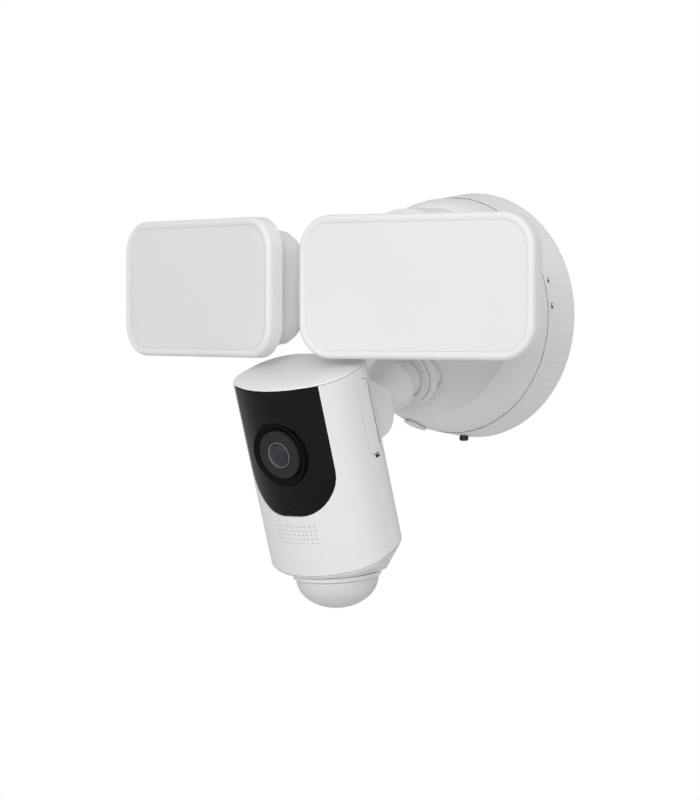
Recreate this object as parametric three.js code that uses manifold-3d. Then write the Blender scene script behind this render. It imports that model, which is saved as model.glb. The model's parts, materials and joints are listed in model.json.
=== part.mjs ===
// Floodlight security camera: wall canopy, two flood lamps, camera head with motion sensor.
// Millimetres. The wall face is the plane y = 0, the camera looks along -Y, +Z is up.
import * as THREE from "three";
import { mergeVertices } from "three/addons/utils/BufferGeometryUtils.js";
import Module from "manifold-3d";

const wasm = await Module();
wasm.setup();

// ---------------------------------------------------------------- driving dimensions

const GAP = 0.3; // between pieces that rest on each other
const RUNNING = 0.08; // radial clearance of a pin in its hole
const MOVING = 0.8; // between pieces that pass each other

// Wall canopy
const CANOPY_R = 68; // radius of the back rim
const RING_DEPTH = 20.4; // wall to the front edge of the lock ring
const RING_TAPER = 3; // how much narrower the ring is in front
const RING_WALL = 3;
const RIB_COUNT = 80;
const RIB_HEIGHT = 0.35;
const SHELL_WALL = 2.4;
const NECK_R = 43; // front of the canopy, where it narrows towards the lamps
const NECK_DEPTH = 68; // wall to the front of the neck
const RIDGE_DEPTH = 42.5; // wall to the ridge round the lower front
const RIDGE_R = CANOPY_R - 11.2;
const SKIRT_DEPTH = 4; // wall to the back edge of the skirt that the lock ring turns on

// Wall plate
const PLATE_T = 3;
const GASKET_T = 3;
const GASKET_WIDTH = 5;
const CABLE_HOLE_R = 10;
const PLATE_SCREW_PITCH = 84;
const PLATE_SCREW_R = 2.4;

// Flood lamps
const LAMP_W = 133.6;
const LAMP_H = 73;
const LAMP_CORNER = 18;
const LAMP_RIM = 3.2; // face of the frame round the diffuser
const FRAME_DEPTH = 8.5;
const DIFFUSER_T = 2.4;
const HOUSING_DEPTH = 21;
const HOUSING_INSET = 5;
const HOUSING_WALL = 2.2;
const LAMP_Z = 14.6; // height of lamps and hub over the middle of the canopy
const LAMP_PAN = { left: -13, right: 8.8 }; // degrees outwards from straight ahead, at rest
const LEDS_WIDE = 6;
const LEDS_HIGH = 3;

// Hub and lamp arms
const HUB_R = 13;
const HUB_HALF = 24;
const ARM_R = 7.5;
const HUB_Y = 108; // wall to the lamps' tilt axis
const PAN_X = LAMP_W / 2 - 13.6; // pan pin from the middle plane, so the lamps clear each other
const PAN_OFFSET = 12.5; // lamp's middle outside its pan pin
const PAN_BACK = 44; // pan pin behind the diffuser
const PAN_BARREL_R = 8;
const PAN_BARREL_H = 13;
const PIN_R = 2.5;
const EAR_T = 4;

// Camera ball joint and arm
const BALL_Y = 58.5;
const BALL_Z = -29;
const BALL_R = 14.8;
const SOCKET_WALL = 1.4;
const BALL_CLEARANCE = 0.45;
const BALL_NECK_R = 8.66; // where the arm leaves the ball
const CLIP_T = 2.2;
const CLIP_LENGTH = 4.8;
const CLIP_OPENING = 9.5;
const FLANGE_R = 14.6;
const KNUCKLE_R = 9.6;
const KNUCKLE_HALF = 11.5;
const LUG_R = 13;
const LUG_T = 5;

// Camera head, in its own frame: origin at the middle of the lens window's face
const HEAD_PITCH = THREE.MathUtils.degToRad(17);
const LENS_Y = 166.4;
const LENS_Z = -71.3;
const HEAD_ROLL = THREE.MathUtils.degToRad(-0.6); // turn of the ball in its socket, about Y
const HEAD_PAN = THREE.MathUtils.degToRad(-0.9); // and about Z
const HEAD_HALF = 37;
const HEAD_DEPTH = 52.4;
const HEAD_TOP = 34;
const HEAD_BOTTOM = 66;
const HEAD_WALL = 2.2;
const HEAD_BOW_R = 50; // radius of the bowed front
const HEAD_BOW = 0.5; // slope of the front where it runs into the corners
const HEAD_FRONT_R = 20;
const HEAD_REAR_R = 20;
const TOP_SLOPE = 0.06; // the top edge climbs towards the back
const BOTTOM_SLOPE = 0.15; // and so does the bottom edge
const WINDOW_HALF = 28.4;
const WINDOW_BOTTOM = 33.4;
const WINDOW_CORNER = 23;
const WINDOW_T = 1.6;
const RECESS_R = 17; // hole in the window for the lens
const BARREL_R = 12.8;
const LENS_R = 7;
const PIR_R = 22.2;
const PIR_Y = 25.4;
const PIR_DROP = 73.4;
const PIR_LEAN = THREE.MathUtils.degToRad(12); // the sensor hangs nearer to plumb than the head
const PIR_HEIGHT = 16;
const PIR_LIP = 0.9; // ring outside the dome
const COVER_Y = 34;
const COVER_Z = 10;
const COVER_W = 12;
const COVER_H = 41;
const BUTTON_R = 1.8;
const PIVOT_Y = 63.3; // tilt axis behind the window
const PIVOT_Z = 1.5;

// ---------------------------------------------------------------- materials

const material = (color, roughness, metalness = 0) =>
  new THREE.MeshStandardMaterial({ color, roughness, metalness });

const WHITE = () => material(0xf1f2f1, 0.45);
const OPAL = () => material(0xf4f5f3, 0.35);
const BLACK_GLOSS = () => material(0x0b0c0e, 0.08);
const BLACK_MATT = () => material(0x17181a, 0.6);
const GLASS = () => material(0x1c2230, 0.03);
const RUBBER = () => material(0x2a2b2c, 0.85);
const STEEL = () => material(0xb9bcbf, 0.35, 1);
const DARK_STEEL = () => material(0x2c2d2f, 0.4, 1);
const ALUMINIUM = () => material(0xb4b7ba, 0.45, 1);
const BOARD = () => material(0x1f5a3a, 0.6);
const COPPER = () => material(0xa3642f, 0.4, 1);

// ---------------------------------------------------------------- solids

function toManifold(geometry) {
  const bare = geometry.clone();
  bare.deleteAttribute("normal");
  bare.deleteAttribute("uv");
  const merged = mergeVertices(bare, 1e-4);
  const corners = merged.index.array;
  const kept = [];
  for (let i = 0; i < corners.length; i += 3) {
    const [a, b, c] = [corners[i], corners[i + 1], corners[i + 2]];
    if (a !== b && b !== c && c !== a) kept.push(a, b, c);
  }
  const triVerts = Uint32Array.from(kept);
  const vertProperties = Float32Array.from(merged.attributes.position.array);
  return new wasm.Manifold(new wasm.Mesh({ numProp: 3, vertProperties, triVerts }));
}

function toGeometry(manifold) {
  const mesh = manifold.getMesh();
  const geometry = new THREE.BufferGeometry();
  geometry.setAttribute("position", new THREE.BufferAttribute(mesh.vertProperties, 3));
  geometry.setIndex(new THREE.BufferAttribute(mesh.triVerts, 1));
  geometry.computeVertexNormals();
  return geometry;
}

function join(...geometries) {
  return toGeometry(geometries.map(toManifold).reduce((sum, next) => sum.add(next)));
}

function cut(geometry, ...tools) {
  return toGeometry(tools.map(toManifold).reduce((rest, tool) => rest.subtract(tool), toManifold(geometry)));
}

function overlap(geometry, tool) {
  return toGeometry(toManifold(geometry).intersect(toManifold(tool)));
}

function piece(name, geometry, look) {
  const mesh = new THREE.Mesh(geometry, look);
  mesh.name = name;
  return mesh;
}

// Box with its middle at x, y, z
function box(width, depth, height, x = 0, y = 0, z = 0) {
  return new THREE.BoxGeometry(width, depth, height).translate(x, y, z);
}

// Cylinder along an axis, with its middle at x, y, z
function rod(axis, radius, length, x = 0, y = 0, z = 0, sides = 24) {
  const geometry = new THREE.CylinderGeometry(radius, radius, length, sides);
  if (axis === "x") geometry.rotateZ(Math.PI / 2);
  if (axis === "z") geometry.rotateX(Math.PI / 2);
  return geometry.translate(x, y, z);
}

// Lathe turned about the Y axis. Points are [radius, y].
function turned(points, sides = 24) {
  const profile = points.map(([radius, y]) => new THREE.Vector2(radius, y));
  return join(outward(new THREE.LatheGeometry(profile, sides)));
}

// Turns the faces over when they point into the solid
function outward(geometry) {
  const { position } = geometry.attributes;
  const corners = geometry.index.array;
  const [a, b, c] = [new THREE.Vector3(), new THREE.Vector3(), new THREE.Vector3()];
  let volume = 0;
  for (let i = 0; i < corners.length; i += 3) {
    a.fromBufferAttribute(position, corners[i]);
    b.fromBufferAttribute(position, corners[i + 1]);
    c.fromBufferAttribute(position, corners[i + 2]);
    volume += a.dot(b.cross(c));
  }
  if (volume < 0) corners.reverse();
  return geometry;
}

// Outline with rounded corners. Corners are [x, y, radius].
function roundedShape(corners, steps = 5) {
  const points = [];
  corners.forEach(([x, y, radius], i) => {
    const corner = new THREE.Vector2(x, y);
    const [beforeX, beforeY] = corners[(i + corners.length - 1) % corners.length];
    const [afterX, afterY] = corners[(i + 1) % corners.length];
    const back = new THREE.Vector2(beforeX, beforeY).sub(corner).normalize();
    const ahead = new THREE.Vector2(afterX, afterY).sub(corner).normalize();
    const half = back.angleTo(ahead) / 2;
    const middle = back.clone().add(ahead).normalize().multiplyScalar(radius / Math.sin(half));
    const centre = corner.clone().add(middle);
    const first = corner.clone().addScaledVector(back, radius / Math.tan(half)).sub(centre);
    const last = corner.clone().addScaledVector(ahead, radius / Math.tan(half)).sub(centre);
    const sweep = Math.atan2(first.cross(last), first.dot(last));
    for (let k = 0; k <= steps; k += 1) {
      const turn = (sweep * k) / steps;
      points.push(first.clone().rotateAround(new THREE.Vector2(), turn).add(centre));
    }
  });
  return new THREE.Shape(points);
}

function roundedRect(width, height, radius, steps = 5) {
  const x = width / 2;
  const y = height / 2;
  return roundedShape([[x, -y, radius], [x, y, radius], [-x, y, radius], [-x, -y, radius]], steps);
}

// Extrusion along Z whose outline is drawn in at each stage. Stages are [z, inset in x, inset in y].
function drafted(shape, stages) {
  const steps = stages.length - 1;
  const geometry = new THREE.ExtrudeGeometry(shape, { depth: steps, steps, bevelEnabled: false });
  geometry.computeBoundingBox();
  const size = geometry.boundingBox.getSize(new THREE.Vector3());
  const middle = geometry.boundingBox.getCenter(new THREE.Vector3());
  return moved(geometry, (point) => {
    const [z, insetX, insetY = insetX] = stages[Math.round(point.z)];
    point.x = middle.x + (point.x - middle.x) * (1 - (2 * insetX) / size.x);
    point.y = middle.y + (point.y - middle.y) * (1 - (2 * insetY) / size.y);
    point.z = z;
  });
}

function moved(geometry, change) {
  const position = geometry.attributes.position;
  const point = new THREE.Vector3();
  for (let i = 0; i < position.count; i += 1) {
    point.fromBufferAttribute(position, i);
    change(point);
    position.setXYZ(i, point.x, point.y, point.z);
  }
  return geometry;
}

// Stands a Z extrusion up: its outline lies in X and Z, and its depth runs along +Y
function facing(geometry) {
  const turn = new THREE.Matrix4().makeBasis(
    new THREE.Vector3(-1, 0, 0),
    new THREE.Vector3(0, 0, 1),
    new THREE.Vector3(0, 1, 0),
  );
  return geometry.applyMatrix4(turn);
}

// Plate whose outline lies in Y and Z, centred on x
function sidePlate(shape, thickness, x) {
  const geometry = new THREE.ExtrudeGeometry(shape, { depth: thickness, bevelEnabled: false });
  const turn = new THREE.Matrix4().makeBasis(
    new THREE.Vector3(0, 1, 0),
    new THREE.Vector3(0, 0, 1),
    new THREE.Vector3(1, 0, 0),
  );
  return geometry.applyMatrix4(turn).translate(x - thickness / 2, 0, 0);
}

// Pan-head screw with a hexagon socket. The tip points along -Y and the head sits on y = 0.
function screw(radius, length, headRadius = radius * 1.9, headHeight = radius * 1.1) {
  const body = turned([
    [0, -length], [radius * 0.7, -length], [radius, -length + radius * 0.6], [radius, 0],
    [headRadius, 0], [headRadius, headHeight * 0.6], [headRadius * 0.75, headHeight], [0, headHeight],
  ], 12);
  return cut(body, rod("y", radius * 0.8, headHeight, 0, headHeight * 0.95, 0, 6));
}

// ---------------------------------------------------------------- wall plate and its hardware

const PLATE_R = CANOPY_R - RING_WALL - GASKET_WIDTH - 2 * GAP;
const SKIRT_R = CANOPY_R - RING_WALL - MOVING;

function backPlate() {
  const disc = rod("y", PLATE_R, PLATE_T, 0, -PLATE_T / 2, 0, 48);
  const cable = rod("y", CABLE_HOLE_R, PLATE_T * 3, 0, 0, -26);
  const holes = [-1, 1].map((side) =>
    rod("y", PLATE_SCREW_R + GAP, PLATE_T * 3, (side * PLATE_SCREW_PITCH) / 2, 0, 0, 16));
  const slots = [-1, 1].map((side) => box(PLATE_SCREW_R * 2.2, PLATE_T * 3, 14, side * 20, 0, 36));
  return cut(disc, cable, ...holes, ...slots);
}

function wallGasket() {
  const inner = CANOPY_R - RING_WALL - GASKET_WIDTH - GAP;
  const outer = CANOPY_R - RING_WALL - GAP;
  return turned([[inner, 0], [inner, -GASKET_T], [outer, -GASKET_T], [outer, 0], [inner, 0]], 48);
}

// ---------------------------------------------------------------- lock ring

const LOCK_SCREW_R = 2.2;
const LOCK_SCREW_Y = -9;

// Ring with a shallow step at every rib, narrowing towards the front
function lockRing() {
  const pitch = (2 * Math.PI) / RIB_COUNT;
  const outline = [];
  for (let i = 0; i < RIB_COUNT; i += 1) {
    outline.push(new THREE.Vector2(CANOPY_R, 0).rotateAround(new THREE.Vector2(), i * pitch));
    const valley = new THREE.Vector2(CANOPY_R - RIB_HEIGHT, 0);
    outline.push(valley.rotateAround(new THREE.Vector2(), (i + 0.9) * pitch));
  }
  const body = facing(drafted(new THREE.Shape(outline), [[-RING_DEPTH, RING_TAPER], [-GAP, 0]]));
  const bore = rod("y", CANOPY_R - RING_WALL, RING_DEPTH * 3, 0, 0, 0, 48);
  const screwHole = rod("z", LOCK_SCREW_R + RUNNING, 12, 0, LOCK_SCREW_Y, -CANOPY_R, 16);
  return cut(body, bore, screwHole);
}

function lockingScrew() {
  const surface = CANOPY_R + (RING_TAPER * LOCK_SCREW_Y) / RING_DEPTH + 0.6;
  const geometry = screw(LOCK_SCREW_R, surface - SKIRT_R - GAP, 2.6, 2.3);
  return geometry.rotateX(-Math.PI / 2).translate(0, LOCK_SCREW_Y, -surface);
}

// ---------------------------------------------------------------- canopy

// Circles of the outer skin from back to front: [distance from the wall, radius, height of the middle].
// The top stays nearly straight, and the lower front steps in behind a ridge and sweeps up to the neck.
const CANOPY_SKIN = [
  [RING_DEPTH + GAP, CANOPY_R - RING_TAPER - GAP, 0],
  [29, CANOPY_R - 4.1, 0.3],
  [36, CANOPY_R - 6.2, 0.8],
  [40.5, CANOPY_R - 8.6, 1.6],
  [RIDGE_DEPTH, RIDGE_R, 2],
  [RIDGE_DEPTH - 0.4, RIDGE_R - 2.2, 3.6],
  [44.5, RIDGE_R - 6.2, 8],
  [49, NECK_R + 4.2, 11.2],
  [55, NECK_R + 1.7, 13.5],
  [NECK_DEPTH - 5, NECK_R, LAMP_Z],
  [NECK_DEPTH - 1.3, NECK_R - 3.5, LAMP_Z],
  [NECK_DEPTH, NECK_R - 10, LAMP_Z],
];

function canopyShell() {
  const outer = CANOPY_SKIN.map(([depth, radius, rise]) => [radius, -depth, rise]);
  const inner = CANOPY_SKIN.filter((circle, i) => i % 2 === 1).map(([depth, radius, rise]) => {
    const back = depth > RIDGE_DEPTH - 4 ? SHELL_WALL : 0;
    return [Math.min(radius - SHELL_WALL, SKIRT_R - SHELL_WALL), -depth + back, rise];
  });
  const front = LAMP_Z;
  const profile = [
    [0, -NECK_DEPTH, front],
    ...outer.reverse(),
    [SKIRT_R, -RING_DEPTH - GAP, 0],
    [SKIRT_R, -SKIRT_DEPTH, 0],
    [SKIRT_R - SHELL_WALL, -SKIRT_DEPTH, 0],
    [SKIRT_R - SHELL_WALL, -RING_DEPTH, 0],
    ...inner,
    [0, -NECK_DEPTH + SHELL_WALL, front],
  ];
  const lathe = new THREE.LatheGeometry(profile.map(([radius, y]) => new THREE.Vector2(radius, y)), 48);
  const { position } = lathe.attributes;
  for (let i = 0; i < position.count; i += 1) {
    position.setZ(i, position.getZ(i) + profile[i % profile.length][2]);
  }
  const wireHole = rod("y", HUB_BORE_R, 20, 0, -NECK_DEPTH, LAMP_Z);
  const socketHole = aimed(rod("y", SOCKET_R + GAP, 60));
  const clipBack = CLIP_FRONT + CLIP_LENGTH + GAP;
  const clipRoom = aimed(rod("y", CLIP_INNER_R + CLIP_T + GAP, 60, 0, clipBack - 30, 0));
  const plugHole = underShell(rod("y", PLUG_R, 16, 0, PLUG_STEM - 2, 0, 20));
  return cut(outward(lathe), wireHole, socketHole, clipRoom, plugHole);
}

const PLUG_R = 5;
const PLUG_SINK = 9.9; // stem's inner end from the canopy's rim
const PLUG_STEM = 4.2; // length of the stem behind the flange

// Stands a shape made along +Y square to the shell, under the canopy and to its left
function underShell(geometry) {
  const slope = THREE.MathUtils.degToRad(20);
  const round = THREE.MathUtils.degToRad(14);
  const stemTop = [0, -32.5, PLUG_SINK - CANOPY_R];
  return geometry.rotateX(-Math.PI / 2 - slope).translate(...stemTop).rotateY(round);
}

function ventPlug() {
  const stem = PLUG_R - GAP;
  const low = PLUG_STEM;
  return underShell(turned([
    [0, 0], [stem, 0], [stem, low], [PLUG_R + 1.6, low], [PLUG_R + 1.4, low + 0.8], [PLUG_R - 1, low + 1.3],
    [0, low + 1.3],
  ], 20));
}

// ---------------------------------------------------------------- electronics in the canopy

const BOARD_Y = -17;
const BOARD_T = 1.6;

function driverBoard() {
  return box(84, BOARD_T, 56, 0, BOARD_Y, 8);
}

function transformer() {
  const front = BOARD_Y - BOARD_T / 2 - GAP;
  const core = box(26, 20, 22, -14, front - 10, 16);
  const winding = rod("y", 9, 14, -14, front - 20 - 1, 16, 24);
  return join(core, winding);
}

function capacitor() {
  return rod("y", 7, 22, 16, BOARD_Y - BOARD_T / 2 - GAP - 11, 22, 20);
}

function terminalBlock() {
  const front = BOARD_Y - BOARD_T / 2 - GAP;
  const wires = [-8, 0, 8].map((x) => rod("z", 2, 8, 24 + x, front - 5, -10.5, 12));
  return cut(box(26, 10, 12, 24, front - 5, -6), ...wires);
}

// ---------------------------------------------------------------- flood lamps, in the lamp's own frame

const RECESS_W = LAMP_W - 2 * LAMP_RIM;
const RECESS_H = LAMP_H - 2 * LAMP_RIM;
const SEAT = 4.5; // ledge that the diffuser sits on
const OPENING_W = RECESS_W - 2 * SEAT;
const OPENING_H = RECESS_H - 2 * SEAT;
const GASKET_Y = FRAME_DEPTH + GAP;
const LAMP_GASKET_T = 1.2;
const HOUSING_Y = GASKET_Y + LAMP_GASKET_T + GAP;
const HOUSING_W = LAMP_W - 2 * HOUSING_INSET;
const HOUSING_H = LAMP_H - 2 * HOUSING_INSET;
const HOUSING_BACK = HOUSING_Y + HOUSING_DEPTH;
const LED_PLATE_W = OPENING_W - 12;
const LED_PLATE_H = OPENING_H - 8;

function lampFrame() {
  const outline = roundedRect(LAMP_W, LAMP_H, LAMP_CORNER);
  const body = facing(drafted(outline, [[-0.6, 2.8], [0.1, 1.5], [1.3, 0.5], [3.2, 0], [FRAME_DEPTH, 0]]));
  const recessOutline = roundedRect(RECESS_W, RECESS_H, LAMP_CORNER - LAMP_RIM);
  const recess = facing(drafted(recessOutline, [[-5, 0], [DIFFUSER_T + GAP, 0]]));
  const opening = roundedRect(OPENING_W, OPENING_H, LAMP_CORNER - LAMP_RIM - SEAT);
  return cut(body, recess, facing(drafted(opening, [[-5, 0], [FRAME_DEPTH * 2, 0]])));
}

function lampDiffuser() {
  const radius = LAMP_CORNER - LAMP_RIM - GAP;
  const outline = roundedRect(RECESS_W - 2 * GAP, RECESS_H - 2 * GAP, radius);
  return facing(drafted(outline, [[-0.3, 1.6], [0, 0.4], [0.5, 0], [DIFFUSER_T, 0]]));
}

function lampGasket() {
  const outer = roundedRect(HOUSING_W - 1, HOUSING_H - 1, LAMP_CORNER - HOUSING_INSET);
  const inner = roundedRect(HOUSING_W - 2 * HOUSING_WALL - 1, HOUSING_H - 2 * HOUSING_WALL - 1, 13);
  const range = [[GASKET_Y, 0], [GASKET_Y + LAMP_GASKET_T, 0]];
  return cut(facing(drafted(outer, range)), facing(drafted(inner, [[0, 0], [30, 0]])));
}

function lampHousing(side) {
  const outline = roundedRect(HOUSING_W, HOUSING_H, LAMP_CORNER - HOUSING_INSET);
  const body = facing(drafted(outline, [
    [HOUSING_Y, 0], [HOUSING_BACK - 8, 2], [HOUSING_BACK - 3, 4.5],
    [HOUSING_BACK - 0.7, 7.5], [HOUSING_BACK, 11],
  ]));
  const hollow = facing(drafted(outline, [
    [HOUSING_Y - 1, HOUSING_WALL],
    [HOUSING_BACK - 8, HOUSING_WALL + 2],
    [HOUSING_BACK - 4.5, HOUSING_WALL + 4],
    [HOUSING_BACK - HOUSING_WALL, HOUSING_WALL + 9],
  ]));
  const hole = rod("y", HOUSING_SCREW_R + GAP, 20, side * HOUSING_SCREW_X, HOUSING_BACK, 0, 16);
  return cut(body, hollow, hole);
}

const HOUSING_SCREW_R = 1.6;
const HOUSING_SCREW_X = 40;

function housingScrew(side) {
  const geometry = screw(HOUSING_SCREW_R, 4);
  return geometry.translate(side * HOUSING_SCREW_X, HOUSING_BACK + GAP, 0);
}

// Shallow tray with sloping sides that throws the light of the LEDs forward
function reflectorTray() {
  const back = LED_Y - LED_BOARD_T - GAP;
  const front = DIFFUSER_T + 2 * GAP;
  const outer = roundedRect(OPENING_W - 4 * GAP, OPENING_H - 4 * GAP, LAMP_CORNER - LAMP_RIM - SEAT, 4);
  const slope = [[front, 0], [back, 4]];
  const body = facing(drafted(outer, slope));
  return cut(body, facing(drafted(outer, [[front - 1, 0.6], [back + 1, 5.4]])));
}

const LED_Y = 12; // front of the heat sink
const LED_BOARD_T = 1.6;

function ledBoard() {
  const board = box(LED_PLATE_W, LED_BOARD_T, LED_PLATE_H, 0, LED_Y - LED_BOARD_T / 2, 0);
  const chips = [];
  for (let i = 0; i < LEDS_WIDE; i += 1) {
    for (let j = 0; j < LEDS_HIGH; j += 1) {
      const x = ((i + 0.5) / LEDS_WIDE - 0.5) * LED_PLATE_W;
      const z = ((j + 0.5) / LEDS_HIGH - 0.5) * LED_PLATE_H;
      chips.push(box(3.5, 1.2, 3.5, x, LED_Y - LED_BOARD_T, z));
    }
  }
  return join(board, ...chips);
}

function heatSink() {
  const finCount = 9;
  const front = LED_Y + GAP;
  const back = HOUSING_BACK - HOUSING_WALL - 3;
  const plate = box(LED_PLATE_W - 8, 2.4, LED_PLATE_H - 6, 0, front + 1.2, 0);
  const fins = [];
  for (let i = 0; i < finCount; i += 1) {
    const x = (i / (finCount - 1) - 0.5) * (LED_PLATE_W - 26);
    fins.push(box(2, back - front - 1, LED_PLATE_H - 14, x, (front + back) / 2 + 0.5, 0));
  }
  return join(plate, ...fins);
}

// ---------------------------------------------------------------- lamp arms and hub

const EAR_Z = PAN_BARREL_H / 2 + GAP; // inner face of a bracket's ear
const HUB_BORE_R = 7;
const LAMP_FLANGE_R = 10.5;
const WASHER_T = 2;
const LAMP_FLANGE_T = 3;

// The bracket, its pin and everything else on a lamp share the lamp's frame
function lampBracket(side) {
  const base = box(26, 3, 2 * (EAR_Z + EAR_T), 0, HOUSING_BACK + GAP + 1.5, 0);
  const start = HOUSING_BACK + GAP + 1;
  const reach = PAN_BACK + PAN_BARREL_R;
  const corners = [
    [-12, start, 0.5], [12, start, 0.5], [PAN_BARREL_R, reach, 7.5], [-PAN_BARREL_R, reach, 7.5],
  ];
  const ears = [-1, 1].map((way) => {
    const ear = new THREE.ExtrudeGeometry(roundedShape(corners), { depth: EAR_T, bevelEnabled: false });
    return ear.translate(0, 0, way > 0 ? EAR_Z : -EAR_Z - EAR_T);
  });
  const hole = rod("z", PIN_R + RUNNING, 60, 0, PAN_BACK, 0, 16);
  return cut(join(base, ...ears), hole).translate(-side * PAN_OFFSET, 0, 0);
}

function panPinSolid(side) {
  const half = EAR_Z + EAR_T + GAP;
  const pin = turned([
    [0, -half - 1], [PIN_R + 1.4, -half - 1], [PIN_R + 1.8, -half], [PIN_R, -half],
    [PIN_R, half], [PIN_R + 1.8, half], [PIN_R + 1.4, half + 1], [0, half + 1],
  ], 16);
  return pin.rotateX(Math.PI / 2).translate(-side * PAN_OFFSET, PAN_BACK, 0);
}

// Arm and washer lie round the lamps' tilt axis. They are made for the right side.
function onTiltAxis(geometry, side) {
  return geometry.rotateZ(side > 0 ? 0 : Math.PI).translate(0, -HUB_Y, LAMP_Z);
}

function lampArm(side) {
  const inner = 8;
  const shaftLength = PAN_X - inner;
  const shaftMiddle = (PAN_X + inner) / 2;
  const flangeMiddle = HUB_HALF + WASHER_T + 2 * GAP + LAMP_FLANGE_T / 2;
  const shaft = rod("x", ARM_R, shaftLength, shaftMiddle, 0, 0, 24);
  const flange = rod("x", LAMP_FLANGE_R, LAMP_FLANGE_T, flangeMiddle, 0, 0, 24);
  const flatEnd = 12; // length of the shaft that is cut flat to enter the bracket
  const overBarrel = (way) => box(2 * flatEnd, 40, 20, PAN_X, 0, way * (PAN_BARREL_H / 2 + 10));
  const barrel = rod("z", PAN_BARREL_R, PAN_BARREL_H, PAN_X, 0, 0, 24);
  const pinHole = rod("z", PIN_R + RUNNING, 40, PAN_X, 0, 0, 16);
  const arm = cut(join(cut(shaft, overBarrel(-1), overBarrel(1)), flange, barrel), pinHole);
  return onTiltAxis(arm, side);
}

function frictionWasher(side) {
  const inner = ARM_R + RUNNING;
  const ring = turned([
    [inner, 0], [LAMP_FLANGE_R, 0], [LAMP_FLANGE_R, WASHER_T], [inner, WASHER_T], [inner, 0],
  ], 24);
  return onTiltAxis(ring.rotateZ(-Math.PI / 2).translate(HUB_HALF + GAP, 0, 0), side);
}

function lampHub() {
  const start = -NECK_DEPTH - GAP;
  const length = HUB_Y + start;
  const middle = start - length / 2;
  const stem = rod("y", HUB_R + 1, length, 0, middle, LAMP_Z);
  const foot = rod("y", HUB_R + 6, 3, 0, start - 1.5, LAMP_Z);
  const bar = rod("x", HUB_R, 2 * HUB_HALF, 0, -HUB_Y, LAMP_Z);
  const bore = rod("x", ARM_R + RUNNING, 3 * HUB_HALF, 0, -HUB_Y, LAMP_Z, 24);
  const wireWay = rod("y", HUB_BORE_R, length + 10, 0, middle + 5, LAMP_Z, 24);
  return cut(join(stem, foot, bar), bore, wireWay);
}

// ---------------------------------------------------------------- camera ball joint

const SOCKET_SEAT_R = BALL_R + BALL_CLEARANCE;
const SOCKET_R = SOCKET_SEAT_R + SOCKET_WALL;
const SOCKET_FRONT = -8; // lip of the socket, in front of the ball's middle
const CLIP_INNER_R = SOCKET_R + GAP;
const CLIP_FRONT = SOCKET_FRONT + 2.5;
const pivot = new THREE.Vector3(0, PIVOT_Y, PIVOT_Z)
  .applyAxisAngle(new THREE.Vector3(1, 0, 0), HEAD_PITCH)
  .add(new THREE.Vector3(0, -LENS_Y, LENS_Z));
const ball = new THREE.Vector3(0, -BALL_Y, BALL_Z);
const ARM_LENGTH = ball.distanceTo(pivot);
const ARM_DROP = Math.atan2(ball.z - pivot.z, ball.y - pivot.y);

// Moves a shape made round the ball, facing -Y, into place along the arm
function aimed(geometry) {
  return geometry.rotateX(ARM_DROP).translate(ball.x, ball.y, ball.z);
}

function cameraSocket() {
  const seat = [];
  const steps = 8;
  const open = Math.acos(SOCKET_FRONT / SOCKET_SEAT_R);
  const back = Math.asin(6 / SOCKET_SEAT_R);
  for (let i = 0; i <= steps; i += 1) {
    const angle = back + ((open - back) * i) / steps;
    seat.push([SOCKET_SEAT_R * Math.sin(angle), SOCKET_SEAT_R * Math.cos(angle)]);
  }
  const bottom = BALL_R + 3;
  return aimed(turned([...seat, [SOCKET_R, SOCKET_FRONT], [SOCKET_R, bottom], [6, bottom], seat[0]], 32));
}

function splitClip() {
  const outer = CLIP_INNER_R + CLIP_T;
  const front = CLIP_FRONT;
  const back = front + CLIP_LENGTH;
  const round = 0.7;
  const ring = turned([
    [CLIP_INNER_R, front], [outer - round, front], [outer, front + round], [outer, back - round],
    [outer - round, back], [CLIP_INNER_R, back], [CLIP_INNER_R, front],
  ], 32);
  return aimed(cut(ring, box(CLIP_OPENING, 40, 30, 0, 0, -outer)));
}

function cameraArm() {
  const sphere = [];
  const steps = 6;
  const leave = Math.PI - Math.asin(BALL_NECK_R / BALL_R);
  for (let i = 0; i <= steps; i += 1) {
    const angle = (leave * i) / steps;
    sphere.push([BALL_R * Math.sin(angle), BALL_R * Math.cos(angle)]);
  }
  sphere[0][0] = 0;
  const neck = KNUCKLE_R - 0.4;
  const turnedArm = turned([
    ...sphere,
    [BALL_NECK_R, -BALL_R + 0.3], [FLANGE_R - 0.8, -16.2], [FLANGE_R, -17.4],
    [FLANGE_R - 0.3, -20], [FLANGE_R - 2.6, -26],
    [neck + 0.6, -34], [neck, -ARM_LENGTH], [0, -ARM_LENGTH],
  ], 24);
  const knuckle = rod("x", KNUCKLE_R, 2 * KNUCKLE_HALF, 0, -ARM_LENGTH, 0, 24);
  const wireWay = rod("y", 3.5, 2 * (ARM_LENGTH - KNUCKLE_R), 0, 0, 0, 12);
  const pinHole = rod("x", PIN_R + RUNNING, 60, 0, -ARM_LENGTH, 0, 16);
  return aimed(cut(join(turnedArm, knuckle), wireWay, pinHole));
}

// ---------------------------------------------------------------- camera head, in its own frame

// Cross-section: bowed front, rounded corners, nearly flat sides and a rounded flat back
function headOutline(inset = 0) {
  const nose = HEAD_BOW_R * (Math.sqrt(1 + HEAD_BOW ** 2) - 1);
  const half = HEAD_HALF - inset;
  const rear = HEAD_DEPTH - inset;
  const front = HEAD_BOW * HEAD_HALF - nose + inset;
  return roundedShape([
    [0, inset - nose, HEAD_BOW_R - inset],
    [half, front, HEAD_FRONT_R - inset],
    [half - 1.5, rear, HEAD_REAR_R - inset],
    [1.5 - half, rear, HEAD_REAR_R - inset],
    [-half, front, HEAD_FRONT_R - inset],
  ], 6);
}

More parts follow.
